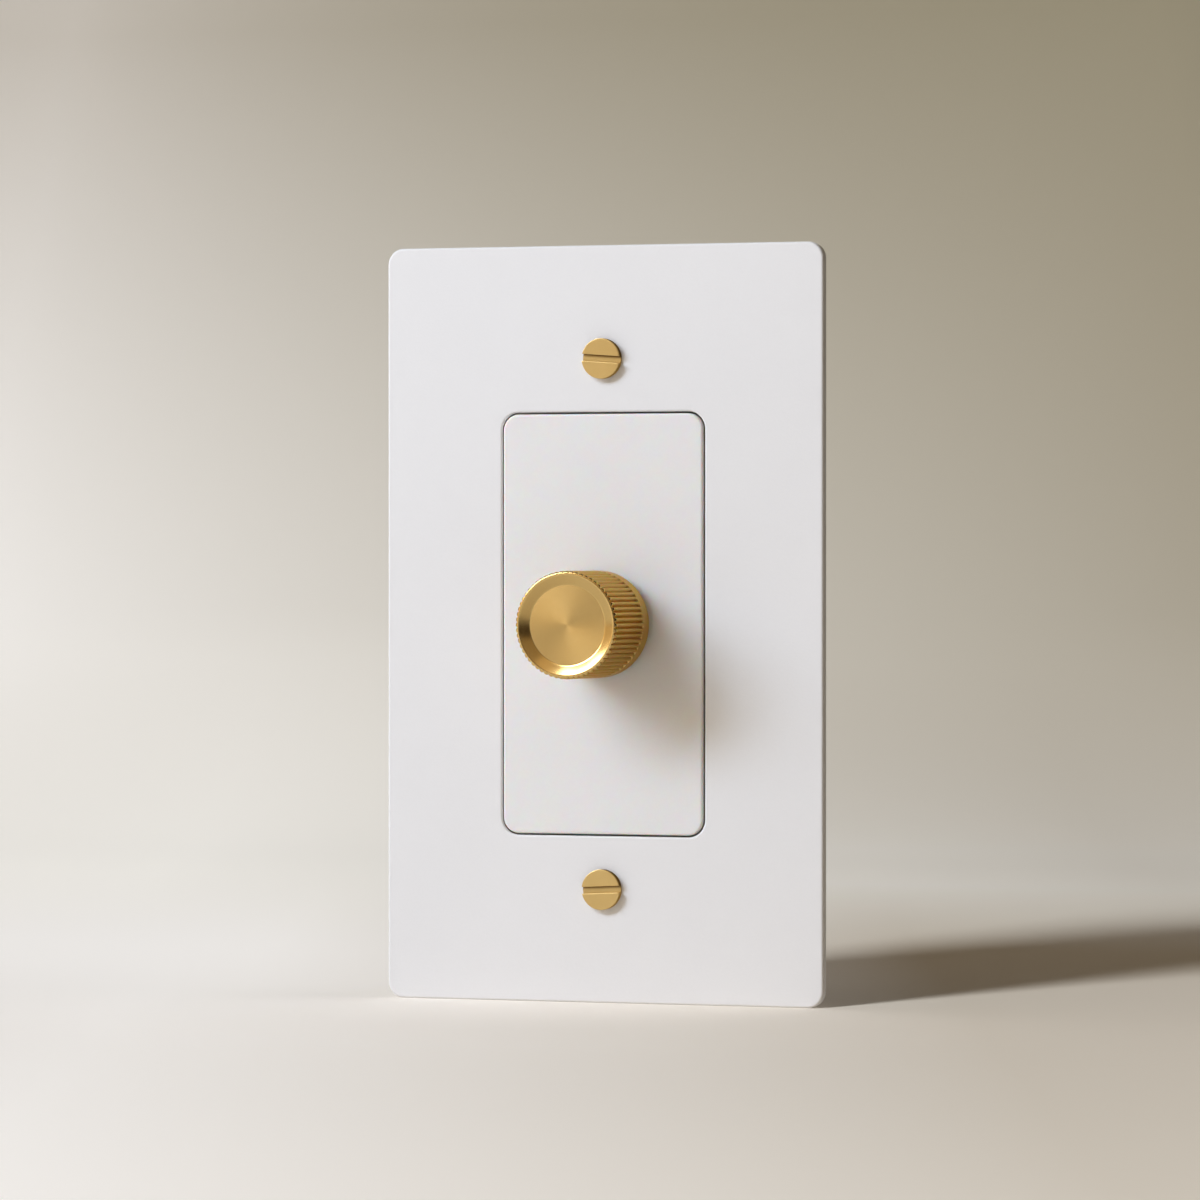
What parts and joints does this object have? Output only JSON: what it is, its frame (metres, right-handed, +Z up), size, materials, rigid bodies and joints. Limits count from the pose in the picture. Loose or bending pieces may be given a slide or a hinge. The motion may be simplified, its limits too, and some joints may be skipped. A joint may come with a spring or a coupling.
{
  "type": "rotary dimmer switch",
  "caption": "Wall dimmer with a white plate and insert, a knurled brass knob that turns and pushes, slotted screws, and a control module on a folded yoke behind.",
  "frame": {"origin": "midway between the two plate screws, on the plane where the ears of the wall box meet the yoke", "axes": "+X to the right seen from the front, +Y into the wall, +Z up"},
  "size_m": [0.073, 0.0462, 0.119],
  "materials": {
    "coated_white": "fine matte powder coat",
    "moulded_white": "fine matte texture",
    "turned_brass": "satin, lacquered",
    "plated_steel": "zinc plated",
    "black_steel": "black oxide",
    "cast_zinc": "die cast, plated",
    "turned_shaft": "nickel plated",
    "black_moulding": "spark textured",
    "grey_moulding": "plain moulded",
    "natural_nylon": "plain moulded",
    "phenolic_sheet": "punched sheet",
    "contact_brass": "bright rolled strip",
    "board_green": "solder resist",
    "transistor_black": "moulded body on a metal tab",
    "chip_black": "moulded",
    "pad_grey": "thin heat conducting sheet",
    "capacitor_yellow": "moulded case",
    "ferrite": "sintered",
    "copper_wire": "enamelled copper",
    "fuse_tube": "ceramic tube with metal caps",
    "earth_green": "green coated steel"
  },
  "bodies": {
    "base": {"wall_plate": "coated_white", "face_insert": "moulded_white", "plate_screws": "turned_brass", "mounting_yoke": "plated_steel", "lock_washer": "plated_steel", "bush_nut": "plated_steel", "transistor_screw": "plated_steel", "transistor_nut": "plated_steel", "housing_screws": "plated_steel", "return_spring": "plated_steel", "control_bush": "cast_zinc", "back_housing": "black_moulding", "switch_case": "black_moulding", "control_case": "grey_moulding", "switch_base": "grey_moulding", "resistance_wafer": "phenolic_sheet", "switch_contacts": "contact_brass", "control_pins": "contact_brass", "terminal_strips": "contact_brass", "terminal_screws": "contact_brass", "circuit_board": "board_green", "power_transistor": "transistor_black", "control_chip": "chip_black", "insulating_pad": "pad_grey", "film_capacitor": "capacitor_yellow", "choke_core": "ferrite", "choke_winding": "copper_wire", "fuse": "fuse_tube", "earth_screw": "earth_green"},
    "pusher": {"switch_plunger": "natural_nylon", "contact_bridge": "contact_brass"},
    "knob": {"knob": "turned_brass", "knob_grub_screw": "black_steel", "control_shaft": "turned_shaft", "shaft_clip": "plated_steel"},
    "rotor": {"wiper_rotor": "natural_nylon", "wiper_contact": "contact_brass"}
  },
  "joints": [
    {"name": "knob_push", "type": "slide", "parent": "base", "child": "pusher", "axis": [0, 1, 0], "range_m": [0, 0.001], "stiffness_N_per_m": 1500, "springref_m": -0.002, "deforming": ["return_spring"]},
    {"name": "knob_turn", "type": "hinge", "parent": "pusher", "child": "knob", "pos_m": [0, 0, 0], "axis": [0, 1, 0], "range_deg": [-150, 150]},
    {"name": "wiper_turn", "type": "hinge", "parent": "base", "child": "rotor", "pos_m": [0, 0, 0], "axis": [0, 1, 0], "range_deg": [-150, 150]}
  ],
  "couplings": [
    {"joint": "wiper_turn", "follows": "knob_turn", "ratio": 1}
  ]
}
